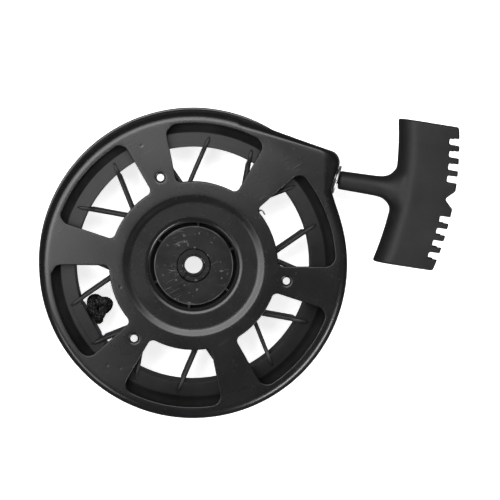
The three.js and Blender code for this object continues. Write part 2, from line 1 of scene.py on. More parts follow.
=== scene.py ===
"""A recoil starter with its cover facing up. Metres outside, millimetres inside the shape functions."""
import math

import bmesh
import bpy
import numpy as np
from mathutils import Matrix, Vector
from mathutils.geometry import delaunay_2d_cdt


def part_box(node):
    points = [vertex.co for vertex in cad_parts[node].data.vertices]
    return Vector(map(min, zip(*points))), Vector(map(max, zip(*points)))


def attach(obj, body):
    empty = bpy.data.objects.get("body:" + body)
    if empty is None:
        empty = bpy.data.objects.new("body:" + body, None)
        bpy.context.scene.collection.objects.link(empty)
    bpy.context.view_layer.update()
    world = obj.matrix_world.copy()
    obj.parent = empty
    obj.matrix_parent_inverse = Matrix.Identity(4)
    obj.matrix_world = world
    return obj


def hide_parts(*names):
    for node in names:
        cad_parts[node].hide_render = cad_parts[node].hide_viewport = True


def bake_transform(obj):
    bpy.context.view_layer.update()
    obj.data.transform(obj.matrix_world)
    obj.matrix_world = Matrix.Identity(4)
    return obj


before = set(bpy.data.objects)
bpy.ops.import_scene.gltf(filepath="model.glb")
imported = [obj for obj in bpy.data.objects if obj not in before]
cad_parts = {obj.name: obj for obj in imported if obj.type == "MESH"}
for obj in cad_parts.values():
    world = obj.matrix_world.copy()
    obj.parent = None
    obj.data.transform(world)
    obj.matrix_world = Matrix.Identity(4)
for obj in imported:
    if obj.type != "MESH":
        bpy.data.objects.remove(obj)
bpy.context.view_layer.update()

MM = 0.001


def node_box(node):
    """A CAD node's box in millimetres."""
    return [[c / MM for c in corner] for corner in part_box(node)]


# -------- sizes, from the frame where it has them

COVER_TOP = node_box("housing_shell")[1][2]
FLANGE_R = -node_box("housing_shell")[0][1]
COVER_R = 85.1
SHEET = 1.5
RIM = 5.4                       # rounding between the face and the wall
NOSE_UPPER, NOSE_LOWER, NOSE_END = 71.6, 18.0, -18.0
NOSE_REACH, NOSE_CORNER, NOSE_HOLLOW = 60.5, 7.0, 5.0
NOSE_DRAFT = 0.1                # how much the end wall leans back for each millimetre of height
SIDE_DRAFT = 1.0                # how far the upper tangent's wall leans in at its top
SIDE_INSET = 0.5                # how far that wall stands in at its foot
FACE_SIDE = -1.9                # the same for the face's edge, which stands out
FACE_REACH = 71.0               # the face's straight edge at the nose
FACE_CORNER, FACE_HOLLOW = 4.5, 9.0
DOME = 1.5                      # how much lower the face is at its edge than at the recess

WINDOW_FIRST, WINDOW_HALF = 20.5, 21.0
WINDOW_IN, WINDOW_OUT = 46.4, 78.1
WINDOW_CORNER_IN, WINDOW_CORNER_OUT, WINDOW_EDGE = 3.0, 5.5, 0.55
SCREW_R, SCREW_DIMPLE_R, SCREW_CIRCLE_R, SCREW_FIRST = 2.0, 2.9, 51.7, 110.5

STEP_OUT, STEP_IN, STEP_DROP = 38.6, 35.4, 1.15
RECESS_TOP = COVER_TOP - STEP_DROP
CUP_R, CUP_LIP, CUP_FLOOR = 23.9, 1.6, 28.0

DISC_R = 21.8
DISC_TOP = node_box("hub_disc")[1][2]
DISC_BORE = 9.35
POST_R, POST_BORE, POST_NECK, POST_LIP = 8.5, 7.3, 6.2, 9.6
POST_HEAD_R, POST_SHOULDER, POST_LIP_DEPTH = 9.05, 26.2, 0.8
POST_BOTTOM, POST_TOP = node_box("center_post")[0][2], node_box("center_post")[1][2]
PIN_R, PIN_BORE = 6.12, 4.95
PIN_BOTTOM, PIN_TOP = node_box("spring_pin")[0][2], node_box("spring_pin")[1][2]
PIN_SLIT_DIRECTION, PIN_SLIT_HALF = 230.0, 0.12
STAKE_FIRST = 23.5

ROPE_R = 2.25
ROPE_Z = 20.0
ROPE_SIDE = 58.9                # the rope line's distance from the axis
ROPE_TURN = -9.0                # the rope's direction as it leaves
COIL_RADII, COIL_LEVELS = (70.2, 73.2), (17.8, 22.2)
COIL_OUT = 75.5
EYELET_PROUD = 1.8              # how far the eyelet stands out of the end wall
HANDLE_SEAT = 2.4               # from the end wall to the end of the grip's stem

RING_IN, RING_RIDGE, RING_OUT = 65.3, 73.2, 80.5
RING_BOTTOM, RING_TOP = 10.0, 30.0
GROOVE_R, GROOVE_HALF = 67.8, 4.6
CUP_IN, CUP_OUT, WEB_TOP = 43.5, 46.0, 12.0
HUB_BORE, HUB_R, HUB_TOP = 8.8, 12.5, 24.3
RIB_APEX, RIB_TILT, RIB_FIRST = 41.2, 29.0, 5.5
ANCHOR_DIRECTION, KNOT_DIRECTION, KNOT_TURN = 208.5, 204.7, -12.0
KNOT_CENTRE = (-52.5, -23.5)
HOOK_DIRECTION = 38.5
SPRING_BOTTOM, SPRING_TOP = 12.5, 23.9
KEEPER_IN, KEEPER_OUT, KEEPER_BOTTOM, KEEPER_TOP = 8.9, 43.1, 24.6, 25.6

DOG_FIRST, DOG_PIVOT_R, DOG_PEG_AT, DOG_PEG_R = 100.0, 22.0, 10.0, 1.6
DOG_BOTTOM, DOG_TOP = 5.6, 9.6
RETAINER_SWEEP, DOG_SWEEP = 30, 35
RETAINER_BOTTOM, RETAINER_TOP = node_box("retainer")[0][2], node_box("retainer")[1][2]

HANDLE_HALF, HANDLE_MIDDLE, HANDLE_BOW, HANDLE_SKEW = 40.5, -1.3, 0.0028, 0.022
HANDLE_IN, HANDLE_OUT = 31.2, 64.4
POCKET_FLOOR, GRIP_BORE = HANDLE_IN + 12.0, 2.7
NOTCHES = (11.4, 18.2, 25.2, 32.1)      # to both sides
DENTS = ((-28.3, 65.9, 36.9), (-40.3, -11.4, 37.8), (-47.6, -54.6, 36.8), (-40.4, -56.2, 36.8))


# -------- plane geometry

def polar(r, deg, x=0.0, y=0.0):
    turn = math.radians(deg)
    return (x + r * math.cos(turn), y + r * math.sin(turn))


def arc(x, y, r, start, end, steps):
    return [polar(r, start + (end - start) * i / steps, x, y) for i in range(steps + 1)]


def circle(r, count, x=0.0, y=0.0):
    return arc(x, y, r, 0, 360, count)[:-1]


def around(count):
    """Evenly spaced angles of a full turn, in radians."""
    return np.linspace(0, 2 * math.pi, count + 1)[:-1]


def spin(deg):
    """A turn about the Z axis."""
    return Matrix.Rotation(math.radians(deg), 4, "Z")


def meet(a, da, b, db):
    """Where the lines with normals a and b, in degrees, and distances da and db cross."""
    p, q = polar(1, a), polar(1, b)
    det = p[0] * q[1] - p[1] * q[0]
    return ((da * q[1] - db * p[1]) / det, (db * p[0] - da * q[0]) / det)


def turned_by(points, deg):
    """Flat points turned about the axis."""
    c, s = math.cos(math.radians(deg)), math.sin(math.radians(deg))
    return [(x * c - y * s, x * s + y * c) for x, y in points]


def grown(points, distance):
    """A counter-clockwise loop moved outwards by a small distance."""
    p = np.array(points)
    ahead = np.roll(p, -1, axis=0) - p
    ahead /= np.linalg.norm(ahead, axis=1, keepdims=True)
    normal = np.stack([ahead[:, 1], -ahead[:, 0]], axis=1)
    both = normal + np.roll(normal, 1, axis=0)
    both /= np.maximum((both * normal).sum(axis=1, keepdims=True), 0.3)
    return [tuple(v) for v in p + both * distance]


def rounded(points, radius, steps=4, closed=True):
    """A profile whose corners are rounded; radius is one number, or one for each corner."""
    radii = radius if isinstance(radius, (list, tuple)) else [radius] * len(points)
    made = []
    for i, point in enumerate(points):
        at = Vector(point)
        if (not closed and i in (0, len(points) - 1)) or radii[i] <= 0:
            made.append(tuple(at))
            continue
        before = Vector(points[i - 1]) - at
        after = Vector(points[(i + 1) % len(points)]) - at
        cut = min(radii[i], before.length * 0.48, after.length * 0.48)
        a = at + before.normalized() * cut
        b = at + after.normalized() * cut
        for k in range(steps + 1):
            t = k / steps
            made.append(tuple(a * (1 - t) ** 2 + at * (2 * t * (1 - t)) + b * t ** 2))
    return made


# -------- forms

class Form:
    """Points, in millimetres, and faces of one piece."""

    def __init__(self):
        self.points = []
        self.faces = []

    def loop(self, points, z=None):
        start = len(self.points)
        self.points += [(p[0], p[1], p[2] if z is None else z) for p in points]
        return list(range(start, len(self.points)))

    def bridge(self, a, b):
        count = len(a)
        for i in range(count):
            j = (i + 1) % count
            self.faces.append((a[i], a[j], b[j], b[i]))

    def skin(self, loops, ends=True):
        """Bridges a row of loops, and closes the first and the last."""
        for a, b in zip(loops, loops[1:]):
            self.bridge(a, b)
        if ends:
            self.faces += [tuple(loops[0]), tuple(loops[-1])]

    def cap(self, loops, spare=()):
        """Fills the area inside the first loop and outside the others, through the spare points."""
        order = [i for loop in loops for i in loop]
        order += self.loop(spare)
        flat = [Vector(self.points[i][:2]) for i in order]
        edges, start = [], 0
        for loop in loops:
            n = len(loop)
            edges += [(start + i, start + (i + 1) % n) for i in range(n)]
            start += n
        out = delaunay_2d_cdt(flat, edges, [], 0, 1e-7)
        sides = [np.array([self.points[i][:2] for i in loop]) for loop in loops]
        source = []
        for at, ids in zip(out[0], out[3]):
            if not ids:
                self.points.append((at[0], at[1], self.points[order[0]][2]))
            source.append(order[ids[0]] if ids else len(self.points) - 1)
        for face in out[2]:
            middle = sum((out[0][i] for i in face), Vector((0, 0))) / len(face)
            if within(middle, sides[0]) and not any(within(middle, s) for s in sides[1:]):
                self.faces.append(tuple(source[i] for i in face))

    def add(self, other):
        start = len(self.points)
        self.points += other.points
        self.faces += [tuple(i + start for i in face) for face in other.faces]
        return self

    def moved(self, matrix):
        self.points = [tuple(matrix @ Vector(p)) for p in self.points]
        return self


def within(point, polygon):
    x, y = point
    px, py = polygon[:, 0], polygon[:, 1]
    qx, qy = np.roll(px, -1), np.roll(py, -1)
    crosses = (py > y) != (qy > y)
    with np.errstate(divide="ignore", invalid="ignore"):
        at = (qx - px) * (y - py) / (qy - py) + px
    return bool(np.count_nonzero(crosses & (x < at)) % 2)


def lathe(profile, count):
    """A closed profile of (radius, height) turned about the Z axis."""
    form = Form()
    loops = [form.loop(circle(r, count), z) for r, z in profile]
    form.skin(loops + loops[:1], ends=False)
    return form


def washer(inner, outer, low, high, edge=0.25, count=80):
    return lathe(rounded([(inner, low), (outer, low), (outer, high), (inner, high)], edge, 3), count)


def lofted(section_at, stations):
    """A skin through the section at each station."""
    form = Form()
    form.skin([form.loop(section_at(station)) for station in stations])
    return form


def peg(profile, count, x, y):
    """A round peg through circles of (radius, height)."""
    return lofted(lambda at: [(*p, at[1]) for p in circle(at[0], count, x, y)], profile)


def plate(outer, holes, low, high, edge):
    """A flat plate with rounded edges, outside and in its holes."""
    form = Form()
    top, bottom = [], []
    for loop, sign in [(outer, -1)] + [(hole, 1) for hole in holes]:
        steps = [(edge, low), (edge * 0.3, low + edge * 0.3), (0, low + edge),
                 (0, high - edge), (edge * 0.3, high - edge * 0.3), (edge, high)]
        rings = [form.loop(grown(loop, sign * d), z) for d, z in steps]
        form.skin(rings, ends=False)
        bottom.append(rings[0])
        top.append(rings[-1])
    form.cap(bottom)
    form.cap(top)
    return form


def smooth_path(points, spacing):
    """Evenly spaced points on a smooth curve through the given ones."""
    p = [Vector(q) for q in points]
    p = [p[0] * 2 - p[1]] + p + [p[-1] * 2 - p[-2]]
    dense = []
    for a, b, c, d in zip(p, p[1:], p[2:], p[3:]):
        for k in range(24):
            t = k / 24
            dense.append(0.5 * ((2 * b) + (c - a) * t + (2 * a - 5 * b + 4 * c - d) * t ** 2
                                + (3 * b - a - 3 * c + d) * t ** 3))
    dense.append(p[-2])
    lengths = np.concatenate([[0], np.cumsum([(v - u).length for u, v in zip(dense, dense[1:])])])
    count = max(int(lengths[-1] / spacing), 2)
    wanted = np.linspace(0, lengths[-1], count + 1)
    xyz = np.array([tuple(v) for v in dense])
    return [Vector([np.interp(s, lengths, xyz[:, k]) for k in range(3)]) for s in wanted]


def tube(path, radius, sides, braid=0.0):
    """A tube along a path. With a braid depth, its surface has the crossing strands of a rope."""
    form = Form()
    loops = []
    side = None
    run = 0.0
    for i, at in enumerate(path):
        ahead = (path[min(i + 1, len(path) - 1)] - path[max(i - 1, 0)]).normalized()
        if side is None:
            side = ahead.orthogonal().normalized()
        side = (side - ahead * side.dot(ahead)).normalized()
        up = ahead.cross(side)
        if i:
            run += (at - path[i - 1]).length
        lay = math.pi * run / (radius * 0.9)
        section = []
        for k in range(sides):
            turn = 2 * math.pi * k / sides
            weave = abs(math.cos(5 * turn + lay)) + abs(math.cos(5 * turn - lay))
            r = radius - braid * (1.0 - 0.62 * weave)
            r = min(r, radius * 1.04)
            section.append(at + (side * math.cos(turn) + up * math.sin(turn)) * r)
        loops.append(form.loop(section))
    form.skin(loops)
    return form


# -------- materials

def node_material(name, colour, roughness, metallic=0.0, gloss=0.5):
    """A principled material and its node tools: (material, shader, new, link, bump)."""
    material = bpy.data.materials.new(name)
    material.use_nodes = True
    tree = material.node_tree
    shader = tree.nodes["Principled BSDF"]
    shader.inputs["Base Color"].default_value = (*colour, 1)
    shader.inputs["Roughness"].default_value = roughness
    shader.inputs["Metallic"].default_value = metallic
    shader.inputs["Specular IOR Level"].default_value = gloss

    def new(kind, inputs=None, **settings):
        node = tree.nodes.new(kind)
        for key, value in settings.items():
            setattr(node, key, value)
        for key, value in (inputs or {}).items():
            if hasattr(value, "links"):
                tree.links.new(value, node.inputs[key])
            else:
                node.inputs[key].default_value = value
        return node

    def bump(height, strength, distance):
        node = new("ShaderNodeBump", {"Height": height, "Strength": strength, "Distance": distance})
        tree.links.new(node.outputs["Normal"], shader.inputs["Normal"])

    return material, shader, new, tree.links.new, bump


def noise_of(new, scale, detail, rough, where):
    inputs = {"Scale": scale, "Detail": detail, "Roughness": rough, "Vector": where}
    return new("ShaderNodeTexNoise", inputs).outputs["Fac"]


def ramp_of(new, value, stops):
    """A ramp through stops of (position, grey or colour)."""
    node = new("ShaderNodeValToRGB", {"Fac": value})
    ramp = node.color_ramp
    while len(ramp.elements) < len(stops):
        ramp.elements.new(0.5)
    for element, (position, grey) in zip(ramp.elements, stops):
        element.position = position
        level = grey if isinstance(grey, tuple) else (grey, grey, grey)
        element.color = (*level, 1)
    return node.outputs["Color"]


def sum_of(new, a, b, operation="ADD"):
    """Two values summed, or put through another operation."""
    return new("ShaderNodeMath", {0: a, 1: b}, operation=operation).outputs[0]


def product_of(new, a, b):
    return sum_of(new, a, b, "MULTIPLY")


def mix_of(new, factor, a, b):
    return new("ShaderNodeMix", {"Factor": factor, "A": a, "B": b}, data_type="RGBA").outputs["Result"]


def scratches(new, where, scale, angle, amount):
    """Thin straight scratches: noise that is stretched a hundredfold, kept where it peaks."""
    turned = new("ShaderNodeMapping", {"Vector": where, "Rotation": (0, 0, math.radians(angle)),
                                       "Scale": (33 / scale, 1 / scale, 1 / scale)}, vector_type="TEXTURE")
    lines = noise_of(new, 1.0, 2.0, 0.5, turned.outputs["Vector"])
    patches = noise_of(new, 60.0, 1.0, 0.5, where)
    fine = ramp_of(new, lines, [(0.0, 0.0), (0.66 - amount, 0.0), (0.70 - amount, 1.0), (1.0, 1.0)])
    some = ramp_of(new, patches, [(0.5, 0.0), (0.62, 1.0)])
    return product_of(new, fine, some)


def distance_from_axis(new, where):
    """The distance from the crank axis, in metres, at a point of the surface."""
    split = new("ShaderNodeSeparateXYZ", {"Vector": where})
    flat = new("ShaderNodeCombineXYZ", {"X": split.outputs["X"], "Y": split.outputs["Y"]})
    return new("ShaderNodeVectorMath", {0: flat.outputs["Vector"]}, operation="LENGTH").outputs["Value"]


def dents(new, where, places, radius):
    """A height that dips in a small bowl about each place, in millimetres."""
    height = 1.0
    for place in places:
        centre = tuple(c * MM for c in place)
        away = new("ShaderNodeVectorMath", {0: where, 1: centre}, operation="DISTANCE").outputs["Value"]
        bowl = ramp_of(new, product_of(new, away, 1 / (radius * MM)), [(0.0, 0.0), (1.0, 1.0)])
        height = product_of(new, height, bowl)
    return height


def black_paint():
    """Satin black paint on stamped sheet: orange peel, dust, light scratches, and painted shade in the cup.
    """
    material, shader, new, link, bump = node_material(
        "black_paint", (0.005, 0.005, 0.005), 0.34, gloss=0.42)
    where = new("ShaderNodeTexCoord").outputs["Object"]
    peel = noise_of(new, 900.0, 3.0, 0.5, where)
    waves = noise_of(new, 55.0, 2.0, 0.5, where)
    clouds = noise_of(new, 28.0, 5.0, 0.6, where)
    scratch = scratches(new, where, 1500.0, 35.0, 0.0)
    dust = ramp_of(new, noise_of(new, 700.0, 1.0, 0.4, where), [(0.70, 0.0), (0.76, 1.0)])
    base = ramp_of(new, clouds, [(0.3, (0.0025, 0.0025, 0.003)), (0.7, (0.0055, 0.0055, 0.006))])
    marks = sum_of(new, product_of(new, scratch, 0.04), product_of(new, dust, 0.03))
    mixed = mix_of(new, marks, base, (0.35, 0.35, 0.36, 1))
    rough = ramp_of(new, clouds, [(0.25, 0.24), (0.75, 0.30)])

    # Painted shade fills the cup, out to 24.4 mm: near-black and rough where the deep gap lies in shadow;
    # the ramp reads the distance in tenths of a metre.
    far = product_of(new, distance_from_axis(new, where), 10.0)
    outside_painted_shade = ramp_of(new, far, [(0.2435, 0.0), (0.2450, 1.0)])
    link(mix_of(new, outside_painted_shade, (0.0008, 0.0008, 0.0008, 1), mixed), shader.inputs["Base Color"])
    link(mix_of(new, outside_painted_shade, (0.95, 0.95, 0.95, 1), rough), shader.inputs["Roughness"])
    texture = sum_of(new, product_of(new, peel, 0.25), product_of(new, waves, 0.9))
    height = sum_of(new, texture, product_of(new, dents(new, where, DENTS, 1.2), 1.4))
    bump(height, 0.22, 0.0003)
    return material


def black_plastic(name, rough, gloss, turned=False):
    """Satin black moulded plastic with a fine grain; turned adds the rings of a turned mould."""
    material, shader, new, link, bump = node_material(
        name, (0.009, 0.009, 0.009), sum(rough) / 2, gloss=gloss)
    where = new("ShaderNodeTexCoord").outputs["Object"]
    grain = noise_of(new, 1400.0, 3.0, 0.6, where)
    clouds = noise_of(new, 40.0, 4.0, 0.6, where)
    base = ramp_of(new, clouds, [(0.3, (0.005, 0.005, 0.005)), (0.7, (0.012, 0.012, 0.012))])
    link(base, shader.inputs["Base Color"])
    link(ramp_of(new, clouds, [(0.25, rough[0]), (0.75, rough[1])]), shader.inputs["Roughness"])
    height = grain
    if turned:
        rings = noise_of(new, 1.0, 3.0, 0.7, new("ShaderNodeCombineXYZ", {
            "X": product_of(new, distance_from_axis(new, where), 1600.0)}).outputs["Vector"])
        height = sum_of(new, product_of(new, grain, 0.3), rings)
    bump(height, 0.3, 0.0002)
    return material


def metal(name, dark, light, rough, scratch=0.0, metallic=1.0, gloss=0.5):
    """Bare or plated metal: cloudy tone, fine grain, and, with scratch, scratches and pits from wear plus a
    painted highlight along the disc's edge.
    """
    material, shader, new, link, bump = node_material(name, light, sum(rough) / 2, metallic, gloss)
    where = new("ShaderNodeTexCoord").outputs["Object"]
    clouds = noise_of(new, 90.0, 5.0, 0.65, where)
    fine = noise_of(new, 600.0, 3.0, 0.6, where)
    base = ramp_of(new, clouds, [(0.35, dark), (0.7, light)])
    if scratch:
        lines = sum_of(new, scratches(new, where, 2200.0, -9.0, -0.01),
                       scratches(new, where, 2000.0, 25.0, -0.01), "MAXIMUM")
        pits = ramp_of(new, noise_of(new, 420.0, 2.0, 0.5, where), [(0.66, 0.0), (0.72, 1.0)])
        marks = sum_of(new, product_of(new, lines, scratch * 0.5),
                       product_of(new, pits, scratch * 0.5), "MAXIMUM")
        # A painted highlight: a thin band at the disc's edge is painted bright, in patches, as if it caught
        # the light; the scratch amount scales it too.
        far = product_of(new, distance_from_axis(new, where), 10.0)
        edge = ramp_of(new, far, [(0.2140, 0.0), (0.2155, 1.0), (0.2185, 1.0), (0.2190, 0.0)])
        edge_highlight_patches = ramp_of(new, noise_of(new, 70.0, 2.0, 0.5, where), [(0.35, 0.15), (0.6, 1.0)])
        painted_edge_highlight = product_of(new, product_of(new, edge, edge_highlight_patches), scratch * 1.3)
        # From here marks holds both the real scratches and pits and the painted edge highlight.
        marks = sum_of(new, marks, painted_edge_highlight, "MAXIMUM")
        base = mix_of(new, marks, base, (0.6, 0.6, 0.61, 1))
    link(base, shader.inputs["Base Color"])
    link(ramp_of(new, clouds, [(0.3, rough[0]), (0.75, rough[1])]), shader.inputs["Roughness"])
    bump(fine, 0.25, 0.0001)
    return material


def braided_rope():
    """Black braided rope: dark strands, each with a painted glint at its middle and painted shadow between
    them.
    """
    material, shader, new, link, bump = node_material("rope", (0.01, 0.01, 0.01), 0.6, gloss=0.2)
    where = new("ShaderNodeTexCoord").outputs["Object"]
    fibres = noise_of(new, 2600.0, 3.0, 0.7, where)
    cells = new("ShaderNodeTexVoronoi", {"Vector": where, "Scale": 760.0}).outputs["Distance"]
    # Painted light: each cell is lighter at its middle as a painted glint and near-black at its edge as
    # painted shadow between strands.
    painted_glint_and_shade = ramp_of(new, cells, [(0.0, 0.15), (0.25, 0.040), (0.48, 0.001)])
    link(product_of(new, painted_glint_and_shade, sum_of(new, fibres, 0.35)), shader.inputs["Base Color"])
    shader.inputs["Sheen Weight"].default_value = 0.04
    shader.inputs["Sheen Roughness"].default_value = 0.4
    height = sum_of(new, product_of(new, fibres, 0.5), product_of(new, cells, -1.6))
    bump(height, 0.9, 0.0006)
    return material


PAINT = black_paint()
PULLEY_PLASTIC = black_plastic("pulley_plastic", (0.34, 0.46), 0.2, turned=True)
HANDLE_PLASTIC = black_plastic("handle_plastic", (0.46, 0.56), 0.22)
DARK_STEEL = metal("dark_steel", (0.006, 0.006, 0.0065), (0.013, 0.013, 0.013), (0.40, 0.50),
                   scratch=0.22, metallic=0.2, gloss=0.14)
ZINC = metal("zinc_plate", (0.45, 0.46, 0.47), (0.62, 0.63, 0.64), (0.36, 0.46))
SPRING_STEEL = metal("spring_steel", (0.14, 0.14, 0.15), (0.3, 0.3, 0.31), (0.28, 0.42))
ROPE = braided_rope()


# -------- pieces

def linked(name, data):
    made = bpy.data.objects.new(name, data)
    bpy.context.collection.objects.link(made)
    return made


def modify(made, kind, **settings):
    modifier = made.modifiers.new(kind, kind)
    for key, value in settings.items():
        setattr(modifier, key, value)


def made_from(form, name, scale=1.0, merge=None):
    """An object from a form, with its faces turned outwards."""
    mesh = bpy.data.meshes.new(name)
    mesh.from_pydata([tuple(c * scale for c in p) for p in form.points], [], form.faces)
    work = bmesh.new()
    work.from_mesh(mesh)
    if merge:
        bmesh.ops.remove_doubles(work, verts=work.verts, dist=merge)
    bmesh.ops.recalc_face_normals(work, faces=work.faces)
    work.to_mesh(mesh)
    work.free()
    return linked(name, mesh)


def piece(name, form, body, nodes, material, crease=35.0, weighted=True):
    """Makes the form a piece that rides on a body and stands for its CAD nodes."""
    made = made_from(form, name, MM, 2e-6)
    made.data.shade_smooth()
    made.data.set_sharp_from_angle(angle=math.radians(crease))
    if weighted:
        modify(made, "WEIGHTED_NORMAL", keep_sharp=True)
    made.data.materials.append(material)
    if body:
        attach(made, body)
    if nodes:
        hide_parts(*nodes)
    return made


# -------- cover

def cover_outline(r, end, reach, corner, hollow, lean):
    """The cover's outline: a circle with a nose, its convex corner and its hollow rounded."""
    hollow_at = meet(NOSE_LOWER, r + hollow, end, reach + hollow)
    corner_at = meet(end, reach - corner, NOSE_UPPER, r - corner - lean)
    return (arc(0, 0, r, NOSE_UPPER, NOSE_LOWER + 360, 220)
            + arc(*hollow_at, hollow, NOSE_LOWER + 180, end + 180, 8)
            + arc(*corner_at, corner, end, NOSE_UPPER, 20)[:-1])


def window_outline(direction):
    """A window: two arcs about the axis, two straight sides and four rounded corners."""
    half = WINDOW_HALF
    inner, outer = WINDOW_IN + WINDOW_CORNER_IN, WINDOW_OUT - WINDOW_CORNER_OUT
    inner_at = half - math.degrees(math.asin(WINDOW_CORNER_IN / inner))
    outer_at = half - math.degrees(math.asin(WINDOW_CORNER_OUT / outer))
    outline = (
        arc(*polar(inner, -inner_at), WINDOW_CORNER_IN, 180 - inner_at, 270 - half, 8)
        + arc(*polar(outer, -outer_at), WINDOW_CORNER_OUT, -90 - half, -outer_at, 10)
        + arc(0, 0, WINDOW_OUT, -outer_at, outer_at, 24)[1:-1]
        + arc(*polar(outer, outer_at), WINDOW_CORNER_OUT, outer_at, 90 + half, 10)
        + arc(*polar(inner, inner_at), WINDOW_CORNER_IN, 90 + half, 180 + inner_at, 8)
        + arc(0, 0, WINDOW_IN, inner_at, -inner_at, 24)[1:-1])
    return turned_by(outline, direction)


def wall_radius(deg):
    """How far the wall's outside is from the axis in a direction."""
    turn = (deg + 180) % 360 - 180
    if NOSE_LOWER < turn < NOSE_UPPER:
        lower = COVER_R / math.cos(math.radians(turn - NOSE_LOWER))
        end = wall_reach(0) / math.cos(math.radians(turn - NOSE_END))
        upper = COVER_R / math.cos(math.radians(turn - NOSE_UPPER))
        return min(max(lower, end), upper)
    return COVER_R


def wall_reach(z):
    """The leaning end wall's distance from the axis at a height."""
    return NOSE_REACH + NOSE_DRAFT * (ROPE_Z - z)


def wall_outline(z, inset=0.0):
    lean = SIDE_INSET + SIDE_DRAFT * z / (COVER_TOP - RIM)
    return cover_outline(COVER_R - inset, NOSE_END, wall_reach(z) - inset, NOSE_CORNER - inset,
                         NOSE_HOLLOW + inset, lean)


def domed(point):
    """The face falls gently from the recess to the rim, with its edges and holes."""
    x, y, z = point
    out = (math.hypot(x, y) - STEP_OUT - 2) / (COVER_R - RIM - STEP_OUT - 2)
    return (x, y, z - DOME * min(max(out, 0.0), 1.0) if z > 25 else z)


def flange():
    """The out-turned foot of the wall, as wide as the nose leaves room for."""
    foot = 1.9
    start = NOSE_UPPER - math.degrees(math.acos(COVER_R / FLANGE_R)) + 0.6
    end = 360 + NOSE_END + math.degrees(math.acos(wall_reach(0) / FLANGE_R)) - 0.6

    def section_at(i):
        deg = start + (end - start) * i / 240
        wall = wall_radius(deg)
        width = FLANGE_R - wall
        curve = min(3.0, width * 0.8)
        section = [(-0.8, 0.1), (-0.8, foot + curve)]
        section += [(curve * (1 - math.cos(a)), foot + curve * (1 - math.sin(a)))
                    for a in np.linspace(0.1, math.pi / 2, 8)]
        edge = min(0.6, width * 0.2)
        section += [(width - edge, SHEET), (width - edge * 0.3, SHEET - edge * 0.3), (width, SHEET - edge),
                    (width, edge), (width - edge * 0.3, edge * 0.3), (width - edge, 0.0)]
        return [(*polar(wall + out, deg), z) for out, z in section]

    return lofted(section_at, range(241))


def cover():
    """The stamped cover: face, windows, screw holes, rim, wall, foot and centre cup."""
    form = Form()
    face = cover_outline(COVER_R - RIM, 0.0, FACE_REACH, FACE_CORNER, FACE_HOLLOW, FACE_SIDE)
    shoulder = COVER_TOP - RIM

    def rim(inner, outer, top, depth, steps):
        rings = []
        for k in range(steps + 1):
            turn = math.pi / 2 * k / steps
            out, down = math.sin(turn), 1 - math.cos(turn)
            ring = [(a[0] + (b[0] - a[0]) * out, a[1] + (b[1] - a[1]) * out)
                    for a, b in zip(inner, outer)]
            rings.append(form.loop(ring, top - depth * down))
        return rings

    outside = rim(face, wall_outline(shoulder), COVER_TOP, RIM, 10)
    outside += [form.loop(wall_outline(z), z) for z in (20.0, 0.5, 0.15)]
    inside = rim(face, wall_outline(shoulder, SHEET), COVER_TOP - SHEET, RIM - SHEET, 6)
    inside += [form.loop(wall_outline(z, SHEET), z) for z in (20.0, 0.5, 0.15)]
    foot = form.loop(wall_outline(0, 0.4), 0.0)
    heel = form.loop(wall_outline(0, 1.1), 0.0)
    form.skin(outside + [foot, heel] + inside[::-1], ends=False)

    edge, low = WINDOW_EDGE, COVER_TOP - SHEET
    top_loops, bottom_loops = [outside[0]], [inside[0]]

    def opening(rings):
        form.skin(rings, ends=False)
        top_loops.append(rings[0])
        bottom_loops.append(rings[-1])

    quarter = [math.radians(a) for a in (0, 22.5, 45, 67.5, 90)]
    for i in range(6):
        window = window_outline(WINDOW_FIRST + 60 * i)
        rings = [form.loop(grown(window, edge * (1 - math.sin(a))), COVER_TOP - edge * (1 - math.cos(a)))
                 for a in quarter]
        rings += [form.loop(grown(window, edge * (1 - math.cos(a))), low + edge * (1 - math.sin(a)))
                  for a in quarter]
        opening(rings)
    for i in range(3):
        x, y = polar(SCREW_CIRCLE_R, SCREW_FIRST + 120 * i)
        profile = rounded([(SCREW_DIMPLE_R + 0.7, COVER_TOP), (SCREW_DIMPLE_R, COVER_TOP - 0.1),
                           (SCREW_R, COVER_TOP - 0.9), (SCREW_R, low)], 0.5, 3, closed=False)
        opening([form.loop(circle(r, 36, x, y), z) for r, z in profile])

    wall_in = CUP_R + SHEET
    profile = rounded([
        (STEP_OUT + 1.6, COVER_TOP), (STEP_OUT, COVER_TOP), (STEP_IN, RECESS_TOP),
        (CUP_R + 2.6, RECESS_TOP), (CUP_R + 1.1, RECESS_TOP - 0.45), (CUP_R, RECESS_TOP - CUP_LIP),
        (CUP_R, CUP_FLOOR),
        (DISC_BORE, CUP_FLOOR), (DISC_BORE, CUP_FLOOR - SHEET), (wall_in, CUP_FLOOR - SHEET),
        (wall_in, RECESS_TOP - SHEET), (STEP_IN - 0.5, RECESS_TOP - SHEET),
        (STEP_OUT - 0.5, COVER_TOP - SHEET), (STEP_OUT + 1.6, COVER_TOP - SHEET),
    ], [0, 1.1, 1.1, 0.7, 0.7, 0.7, 0.8, 0.3, 0.3, 1.2, 1.0, 1.2, 1.2, 0], 6, closed=False)
    opening([form.loop(circle(r, 180), z) for r, z in profile])

    outer, *holes = [[form.points[i][:2] for i in loop] for loop in top_loops]
    keep_out = [np.array(grown(hole, 0.9)) for hole in holes]
    room = np.array(grown(outer, -0.9))
    spare = [polar(r, deg) for r in np.arange(STEP_OUT + 3.5, 100, 2.6) for deg in np.arange(0, 360, 3)]
    spare = [(*at, COVER_TOP) for at in spare
             if within(at, room) and not any(within(at, hole) for hole in keep_out)]
    form.cap(top_loops, spare)
    form.cap(bottom_loops)
    form.points = [domed(point) for point in form.points]
    return form.add(flange())


piece("cover", cover(), "housing", ["housing_shell"], PAINT)


# -------- hub, pin and eyelet

